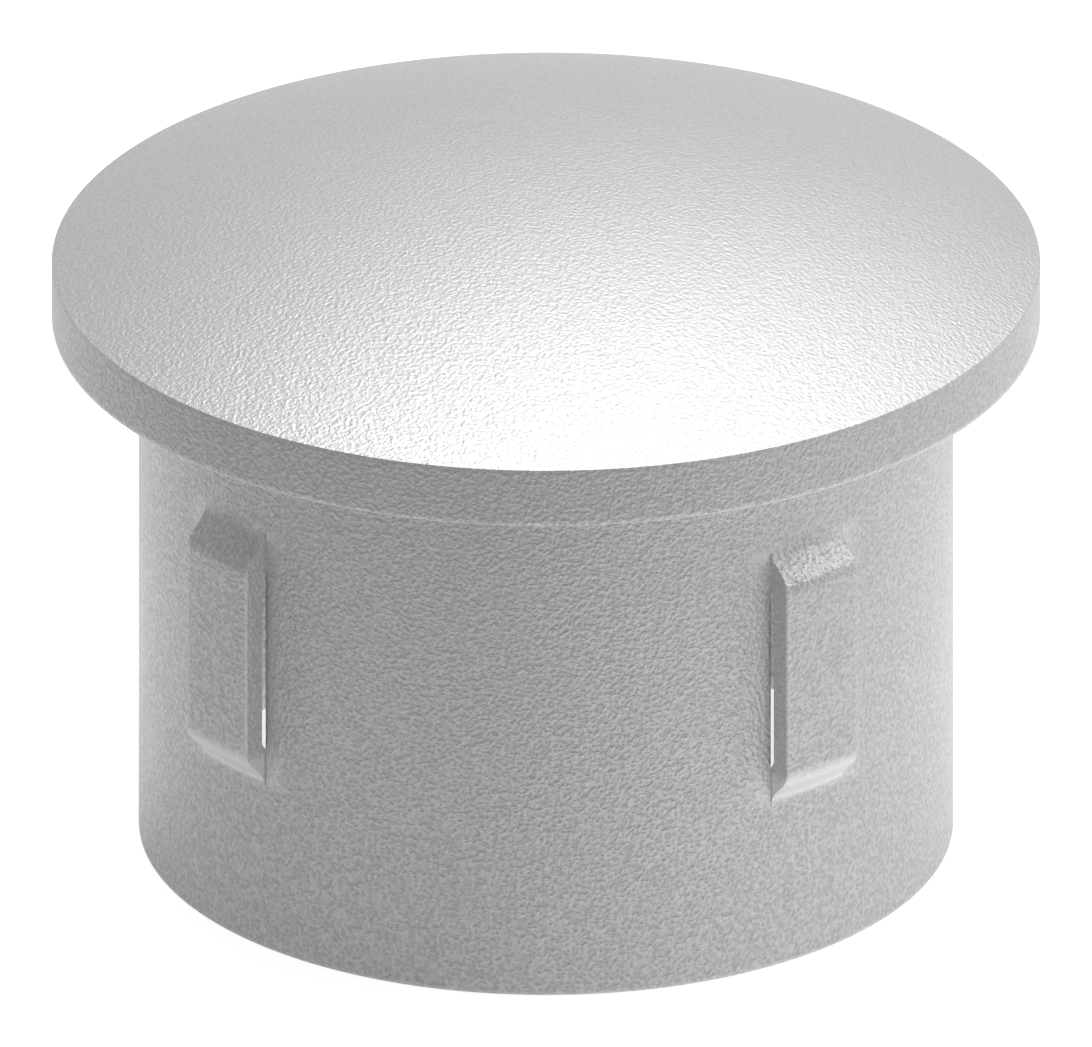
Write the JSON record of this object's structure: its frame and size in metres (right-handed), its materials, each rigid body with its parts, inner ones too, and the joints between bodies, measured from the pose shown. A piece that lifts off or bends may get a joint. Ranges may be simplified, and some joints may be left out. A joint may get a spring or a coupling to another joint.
{
  "type": "tube end cap",
  "caption": "Domed steel end cap for a round tube: a thick head with a thin hollow skirt whose lanced lugs grip the bore.",
  "frame": {"origin": "centre of the skirt's open end, on the cap's axis", "axes": "+Z runs along the cap's axis, from the skirt's open end to the domed head; lugs are centred on +X, -X, +Y and -Y"},
  "size_m": [0.0484, 0.0484, 0.0348],
  "materials": {
    "steel": "bare light-grey steel, satin, with a fine cast skin all over"
  },
  "bodies": {
    "root": {"end_cap": "steel"}
  },
  "joints": []
}
